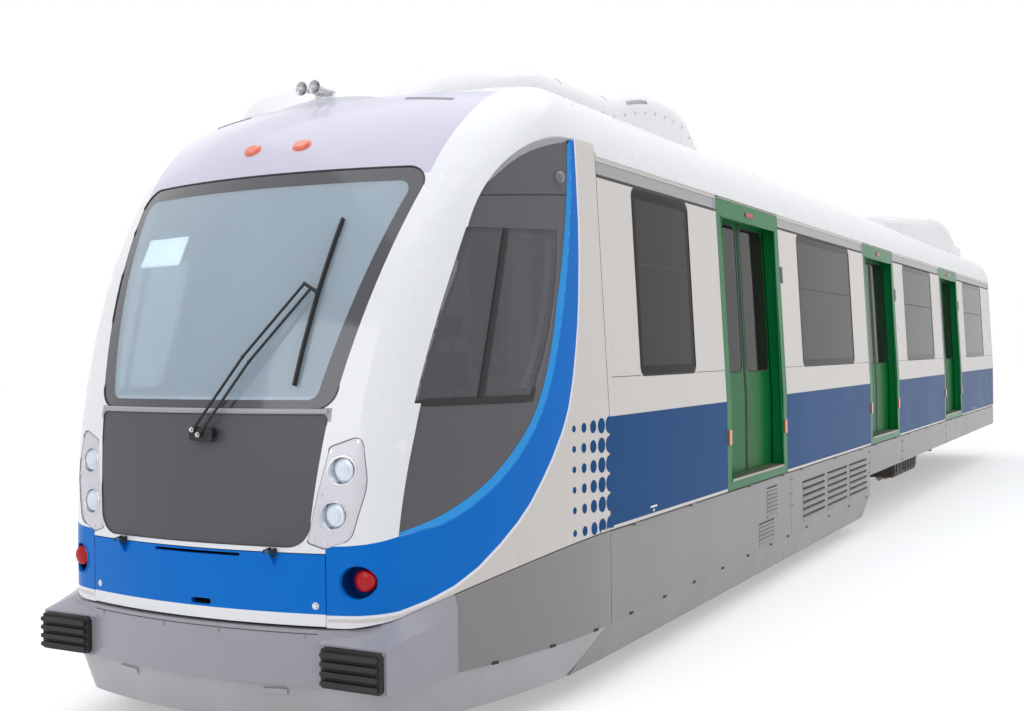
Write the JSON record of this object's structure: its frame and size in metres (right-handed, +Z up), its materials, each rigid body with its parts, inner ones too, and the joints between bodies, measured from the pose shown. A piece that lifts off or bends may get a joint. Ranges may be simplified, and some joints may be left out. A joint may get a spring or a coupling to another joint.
{
  "type": "diesel light-rail motor car",
  "caption": "Cab motor car of a metre-gauge diesel light-rail unit, with sliding pocket doors, bogies and a hinged nose hatch.",
  "frame": {"origin": "middle of the car on the ground plane of the wheel flanges", "axes": "+X towards the cab nose, +Y to the left side of the car, +Z up"},
  "size_m": [19.34, 2.86, 4.0917],
  "materials": {
    "white_paint": "gloss",
    "blue_paint": "gloss",
    "green_paint": "gloss",
    "grey_paint": "satin",
    "pale_paint": "satin",
    "dark_panel": "matte",
    "tinted_glass": "tinted",
    "clear_glass": "clear",
    "lamp_silver": "bright",
    "lamp_red": "clear red",
    "black_rubber": "ribbed",
    "bellows_rubber": "pleated",
    "chassis_black": "matte",
    "cast_grey": "cast",
    "wheel_steel": "worn",
    "seat_plastic": "moulded",
    "pole_steel": "brushed",
    "cab_plastic": "grained",
    "lining_laminate": "satin",
    "seat_fabric": "woven"
  },
  "bodies": {
    "car_body": {"air_horns": "pole_steel", "air_reservoirs": "chassis_black", "apron": "pale_paint", "battery_boxes": "chassis_black", "buffers": "black_rubber", "bumper": "grey_paint", "cab_bulkhead": "lining_laminate", "cab_desk": "cab_plastic", "cab_mask": "white_paint", "cab_side_windows": "tinted_glass", "couplers": "cast_grey", "door_portals_left": "green_paint", "door_portals_right": "green_paint", "driver_seat": "seat_fabric", "engine": "cast_grey", "front_roof_pod": "white_paint", "fuel_tank": "chassis_black", "gangway_bellows": "bellows_rubber", "grab_poles": "pole_steel", "headlamps": "lamp_silver", "nose_panel": "dark_panel", "passenger_seats": "seat_plastic", "rear_end_wall": "white_paint", "rear_roof_pod": "white_paint", "roof": "white_paint", "side_wall_left": "white_paint", "side_wall_right": "white_paint", "side_windows": "tinted_glass", "signal_lamps": "lamp_red", "skirts_left": "grey_paint", "skirts_right": "grey_paint", "underframe": "chassis_black", "windscreen": "clear_glass", "wiper": "black_rubber"},
    "bogie_front": {"bogie_frame_front": "chassis_black"},
    "bogie_rear": {"bogie_frame_rear": "chassis_black"},
    "hatch": {"front_hatch": "blue_paint"},
    "cab_door": {"cab_door": "lining_laminate"},
    "wheelset_1": {"wheelset_1": "wheel_steel"},
    "wheelset_2": {"wheelset_2": "wheel_steel"},
    "wheelset_3": {"wheelset_3": "wheel_steel"},
    "wheelset_4": {"wheelset_4": "wheel_steel"},
    "door_left_1_fore": {"door_left_1_fore": "green_paint"},
    "door_left_1_rear": {"door_left_1_rear": "green_paint"},
    "door_left_2_fore": {"door_left_2_fore": "green_paint"},
    "door_left_2_rear": {"door_left_2_rear": "green_paint"},
    "door_left_3_fore": {"door_left_3_fore": "green_paint"},
    "door_left_3_rear": {"door_left_3_rear": "green_paint"},
    "door_right_1_fore": {"door_right_1_fore": "green_paint"},
    "door_right_1_rear": {"door_right_1_rear": "green_paint"},
    "door_right_2_fore": {"door_right_2_fore": "green_paint"},
    "door_right_2_rear": {"door_right_2_rear": "green_paint"},
    "door_right_3_fore": {"door_right_3_fore": "green_paint"},
    "door_right_3_rear": {"door_right_3_rear": "green_paint"}
  },
  "joints": [
    {"name": "bogie_front_yaw", "type": "hinge", "parent": "car_body", "child": "bogie_front", "pos_m": [5.928, 0, 0.728], "axis": [0, 0, 1], "range_deg": [-4, 4]},
    {"name": "bogie_rear_yaw", "type": "hinge", "parent": "car_body", "child": "bogie_rear", "pos_m": [-5.322, 0, 0.728], "axis": [0, 0, 1], "range_deg": [-4, 4]},
    {"name": "wheelset_1_roll", "type": "hinge", "parent": "bogie_front", "child": "wheelset_1", "pos_m": [6.928, 0, 0.408], "axis": [0, 1, 0], "continuous": true},
    {"name": "wheelset_2_roll", "type": "hinge", "parent": "bogie_front", "child": "wheelset_2", "pos_m": [4.928, 0, 0.408], "axis": [0, 1, 0], "continuous": true},
    {"name": "wheelset_3_roll", "type": "hinge", "parent": "bogie_rear", "child": "wheelset_3", "pos_m": [-4.322, 0, 0.408], "axis": [0, 1, 0], "continuous": true},
    {"name": "wheelset_4_roll", "type": "hinge", "parent": "bogie_rear", "child": "wheelset_4", "pos_m": [-6.322, 0, 0.408], "axis": [0, 1, 0], "continuous": true},
    {"name": "door_left_1_fore_slide", "type": "slide", "parent": "car_body", "child": "door_left_1_fore", "axis": [1, 0, 0], "range_m": [0, 0.62]},
    {"name": "door_left_1_rear_slide", "type": "slide", "parent": "car_body", "child": "door_left_1_rear", "axis": [-1, 0, 0], "range_m": [0, 0.62]},
    {"name": "door_left_2_fore_slide", "type": "slide", "parent": "car_body", "child": "door_left_2_fore", "axis": [1, 0, 0], "range_m": [0, 0.62]},
    {"name": "door_left_2_rear_slide", "type": "slide", "parent": "car_body", "child": "door_left_2_rear", "axis": [-1, 0, 0], "range_m": [0, 0.62]},
    {"name": "door_left_3_fore_slide", "type": "slide", "parent": "car_body", "child": "door_left_3_fore", "axis": [1, 0, 0], "range_m": [0, 0.62]},
    {"name": "door_left_3_rear_slide", "type": "slide", "parent": "car_body", "child": "door_left_3_rear", "axis": [-1, 0, 0], "range_m": [0, 0.62]},
    {"name": "door_right_1_fore_slide", "type": "slide", "parent": "car_body", "child": "door_right_1_fore", "axis": [1, 0, 0], "range_m": [0, 0.62]},
    {"name": "door_right_1_rear_slide", "type": "slide", "parent": "car_body", "child": "door_right_1_rear", "axis": [-1, 0, 0], "range_m": [0, 0.62]},
    {"name": "door_right_2_fore_slide", "type": "slide", "parent": "car_body", "child": "door_right_2_fore", "axis": [1, 0, 0], "range_m": [0, 0.62]},
    {"name": "door_right_2_rear_slide", "type": "slide", "parent": "car_body", "child": "door_right_2_rear", "axis": [-1, 0, 0], "range_m": [0, 0.62]},
    {"name": "door_right_3_fore_slide", "type": "slide", "parent": "car_body", "child": "door_right_3_fore", "axis": [1, 0, 0], "range_m": [0, 0.62]},
    {"name": "door_right_3_rear_slide", "type": "slide", "parent": "car_body", "child": "door_right_3_rear", "axis": [-1, 0, 0], "range_m": [0, 0.62]},
    {"name": "hatch_hinge", "type": "hinge", "parent": "car_body", "child": "hatch", "pos_m": [9.66, 0, 1.013], "axis": [0, -1, 0], "range_deg": [0, 85]},
    {"name": "cab_door_hinge", "type": "hinge", "parent": "car_body", "child": "cab_door", "pos_m": [7.604, 0.33, 1.928], "axis": [0, 0, -1], "range_deg": [0, 90]}
  ],
  "couplings": [
    {"joint": "door_left_1_rear_slide", "follows": "door_left_1_fore_slide", "ratio": 1},
    {"joint": "door_left_2_rear_slide", "follows": "door_left_2_fore_slide", "ratio": 1},
    {"joint": "door_left_3_rear_slide", "follows": "door_left_3_fore_slide", "ratio": 1},
    {"joint": "door_right_1_rear_slide", "follows": "door_right_1_fore_slide", "ratio": 1},
    {"joint": "door_right_2_rear_slide", "follows": "door_right_2_fore_slide", "ratio": 1},
    {"joint": "door_right_3_rear_slide", "follows": "door_right_3_fore_slide", "ratio": 1}
  ]
}
